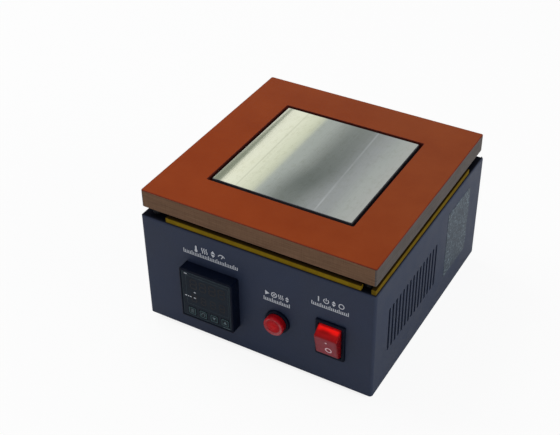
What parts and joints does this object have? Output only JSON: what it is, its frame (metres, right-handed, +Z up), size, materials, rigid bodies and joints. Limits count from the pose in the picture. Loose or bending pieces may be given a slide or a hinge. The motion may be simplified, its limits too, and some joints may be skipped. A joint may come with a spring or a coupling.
{
  "type": "heating platform",
  "caption": "Bench heating platform: a square hot plate flush in an insulating board, on a folded steel case with a temperature controller, run light and rocker switch.",
  "frame": {"origin": "on the floor plane under the middle of the whole object's box", "axes": "+Z up, front panel towards -Y, vented side with the label towards +X"},
  "size_m": [0.2031, 0.2182, 0.1285],
  "materials": {
    "case_paint": "dark slate-grey powder coat, fine texture, semi-matt",
    "zinc": "bright zinc plating",
    "foot_rubber": "black moulded rubber",
    "strip": "mustard-yellow epoxy-glass strip",
    "phenolic": "orange-brown laminated phenolic board, satin, sawn grey-brown edges",
    "nylon": "black nylon",
    "plate_metal": "ground and polished along the depth, bright",
    "mica": "pressed mica board",
    "ceramic": "unglazed steatite",
    "fibre": "white ceramic-fibre blanket",
    "brass": "plain turned brass",
    "probe_steel": "stainless steel",
    "housing_black": "black moulded plastic, satin",
    "faceplate": "smoked glossy faceplate",
    "circuit_board": "green solder mask",
    "key_grey": "dark green-grey keys with a pale outline",
    "lens_red": "translucent red, flat front with a moulded rim",
    "rocker_red": "translucent red, glossy",
    "contact_brass": "tinned brass contacts",
    "fuse_glass": "clear glass tube with nickel caps",
    "relay_shell": "black potted module",
    "spreader": "mill finish",
    "copper_leads": "brown silicone-sheathed copper wire, matt",
    "signal_leads": "blue thin plastic-sheathed wire",
    "glass_braid": "off-white woven glass-fibre sleeve over nickel wire",
    "connectors": "pale nylon-sleeved crimp connectors",
    "label": "blank grey speckled label"
  },
  "bodies": {
    "case": {"case_shell": "case_paint", "base_plate": "zinc", "rear_panel": "case_paint", "case_screws": "zinc", "rubber_feet": "foot_rubber", "foot_screws": "zinc", "foot_nuts": "zinc", "front_strip": "strip", "right_strip": "strip", "rear_strip": "strip", "left_strip": "strip", "top_board": "phenolic", "board_spacers": "nylon", "board_screws": "zinc", "hot_plate": "plate_metal", "heating_element": "mica", "clamp_plate": "zinc", "clamp_screws": "zinc", "ceramic_posts": "ceramic", "plate_studs": "zinc", "stud_nuts": "zinc", "support_tray": "zinc", "insulation_pad": "fibre", "tray_pillars": "brass", "pillar_screws": "zinc", "thermocouple": "probe_steel", "controller_bezel": "housing_black", "controller_case": "housing_black", "controller_faceplate": "faceplate", "display_board": "circuit_board", "controller_clip": "housing_black", "controller_terminals": "housing_black", "run_light_lens": "lens_red", "run_light_body": "housing_black", "run_light_nut": "nylon", "switch_body": "housing_black", "switch_terminals": "contact_brass", "inlet_body": "housing_black", "inlet_pins": "contact_brass", "inlet_screws": "zinc", "relay": "relay_shell", "relay_plate": "spreader", "relay_screws": "zinc", "relay_terminals": "brass", "terminal_block": "ceramic", "block_screw": "zinc", "earth_stud": "brass", "earth_nut": "brass", "crimp_connectors": "connectors", "mains_wires": "copper_leads", "heater_leads": "glass_braid", "signal_wires": "signal_leads", "blank_label": "label"},
    "rocker": {"rocker": "rocker_red"},
    "fuse_drawer": {"fuse_drawer": "housing_black", "fuse": "fuse_glass"},
    "key_1": {"key_1": "key_grey"},
    "key_2": {"key_2": "key_grey"},
    "key_3": {"key_3": "key_grey"},
    "key_4": {"key_4": "key_grey"}
  },
  "joints": [
    {"name": "rocker_tilt", "type": "hinge", "parent": "case", "child": "rocker", "pos_m": [0.0661, -0.09565, 0.0495], "axis": [1, 0, 0], "range_deg": [0, 21]},
    {"name": "fuse_drawer_slide", "type": "slide", "parent": "case", "child": "fuse_drawer", "axis": [0, 1, 0], "range_m": [0, 0.018]},
    {"name": "key_1_press", "type": "slide", "parent": "case", "child": "key_1", "axis": [0, 1, 0], "range_m": [0, 0.0005], "stiffness_N_per_m": 1000},
    {"name": "key_2_press", "type": "slide", "parent": "case", "child": "key_2", "axis": [0, 1, 0], "range_m": [0, 0.0005], "stiffness_N_per_m": 1000},
    {"name": "key_3_press", "type": "slide", "parent": "case", "child": "key_3", "axis": [0, 1, 0], "range_m": [0, 0.0005], "stiffness_N_per_m": 1000},
    {"name": "key_4_press", "type": "slide", "parent": "case", "child": "key_4", "axis": [0, 1, 0], "range_m": [0, 0.0005], "stiffness_N_per_m": 1000}
  ]
}
